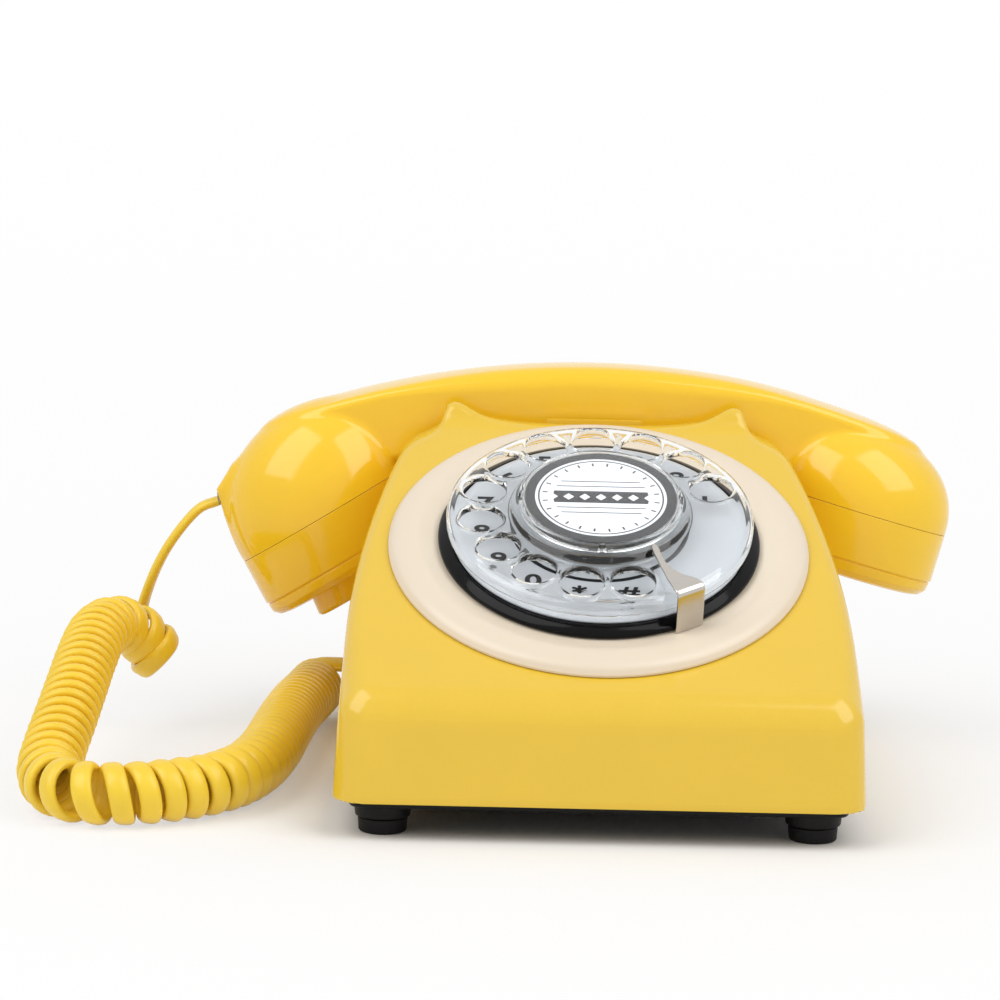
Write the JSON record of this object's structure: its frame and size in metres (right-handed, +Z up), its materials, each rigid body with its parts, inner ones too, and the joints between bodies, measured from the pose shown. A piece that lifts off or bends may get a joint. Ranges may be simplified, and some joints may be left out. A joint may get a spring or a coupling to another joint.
{
  "type": "rotary desk telephone",
  "caption": "Yellow rotary desk telephone: wedge case on rubber feet, clear finger wheel that turns to dial, sprung cradle, lift-off handset and curly cord.",
  "frame": {"origin": "on the table under the centre of the telephone's box, measured without the cord", "axes": "+X to the right as seen from the front, along the handset; +Y from the front to the rear; +Z up"},
  "size_m": [0.297, 0.215, 0.127],
  "materials": {
    "yellow_plastic": "gloss moulding",
    "handset_plastic": "gloss moulding",
    "cord_jacket": "satin jacket",
    "cream_plastic": "gloss moulding",
    "black_gloss": "gloss moulding",
    "black_matte": "matte moulding",
    "grey_plastic": "matte moulding",
    "clear_plastic": "clear polished moulding",
    "printed_plate": "pale printed plate",
    "nickel": "bright nickel",
    "brass": "machined brass",
    "steel": "plain steel",
    "coil_winding": "wound copper wire",
    "board": "green lacquered board",
    "rubber": "matte rubber"
  },
  "bodies": {
    "base": {"case_shell": "yellow_plastic", "base_plate": "black_matte", "foot_pad_front_left": "rubber", "foot_pad_front_right": "rubber", "foot_pad_rear_left": "rubber", "foot_pad_rear_right": "rubber", "case_screw_left": "steel", "case_screw_right": "steel", "dial_ring": "cream_plastic", "dial_cup": "black_gloss", "number_plate": "printed_plate", "finger_stop": "nickel", "dial_bush": "brass", "dial_frame": "steel", "mainspring": "steel", "contact_block": "grey_plastic", "impulse_spring_inner": "brass", "impulse_spring_outer": "brass", "governor_bracket": "steel", "plunger_spring": "steel", "hook_switch": "black_matte", "switch_bracket": "steel", "ringer_frame": "steel", "gong_left": "brass", "gong_right": "brass", "gong_screw_left": "steel", "gong_screw_right": "steel", "ringer_coil": "coil_winding", "circuit_board": "board", "handset_jack": "black_matte", "line_jack": "black_matte", "cord_curl": "cord_jacket", "cord_tail": "cord_jacket", "base_plug": "clear_plastic"},
    "dial": {"finger_wheel": "clear_plastic", "label_card": "printed_plate", "label_cap": "clear_plastic", "dial_shaft": "steel", "main_gear": "brass", "impulse_cam": "grey_plastic"},
    "governor": {"governor_spindle": "steel", "governor_pinion": "brass", "governor_drum": "brass"},
    "plunger": {"hook_plunger": "yellow_plastic"},
    "clapper": {"clapper": "steel"},
    "handset": {"handset_shell": "handset_plastic", "mouthpiece_cap": "handset_plastic", "earpiece_cap": "handset_plastic", "transmitter_capsule": "steel", "receiver_capsule": "steel", "handset_weight": "steel", "handset_plug": "clear_plastic", "cord_lead": "cord_jacket"}
  },
  "joints": [
    {"name": "dial_turn", "type": "hinge", "parent": "base", "child": "dial", "pos_m": [0.00235, -0.0357, 0.0783], "axis": [0, -0.4614, 0.8872], "range_deg": [-329, 0], "stiffness_Nm_per_rad": 0.01, "springref_deg": 34.38, "deforming": ["mainspring"]},
    {"name": "governor_spin", "type": "hinge", "parent": "base", "child": "governor", "pos_m": [0.00235, -0.00908, 0.09214], "axis": [0, -0.4614, 0.8872], "range_deg": [0, 1316]},
    {"name": "handset_lift", "type": "slide", "parent": "base", "child": "handset", "axis": [0, 0, 1], "range_m": [0, 0.1], "deforming": ["cord_lead", "cord_curl"]},
    {"name": "hook_rise", "type": "slide", "parent": "base", "child": "plunger", "axis": [0, 0, 1], "range_m": [0, 0.004], "deforming": ["plunger_spring"]},
    {"name": "clapper_swing", "type": "hinge", "parent": "base", "child": "clapper", "pos_m": [0.00235, 0.0785, 0.038], "axis": [0, 0, 1], "range_deg": [-6, 6], "stiffness_Nm_per_rad": 0.002}
  ],
  "couplings": [
    {"joint": "governor_spin", "follows": "dial_turn", "ratio": -4},
    {"joint": "hook_rise", "follows": "handset_lift", "ratio": 0.04}
  ]
}
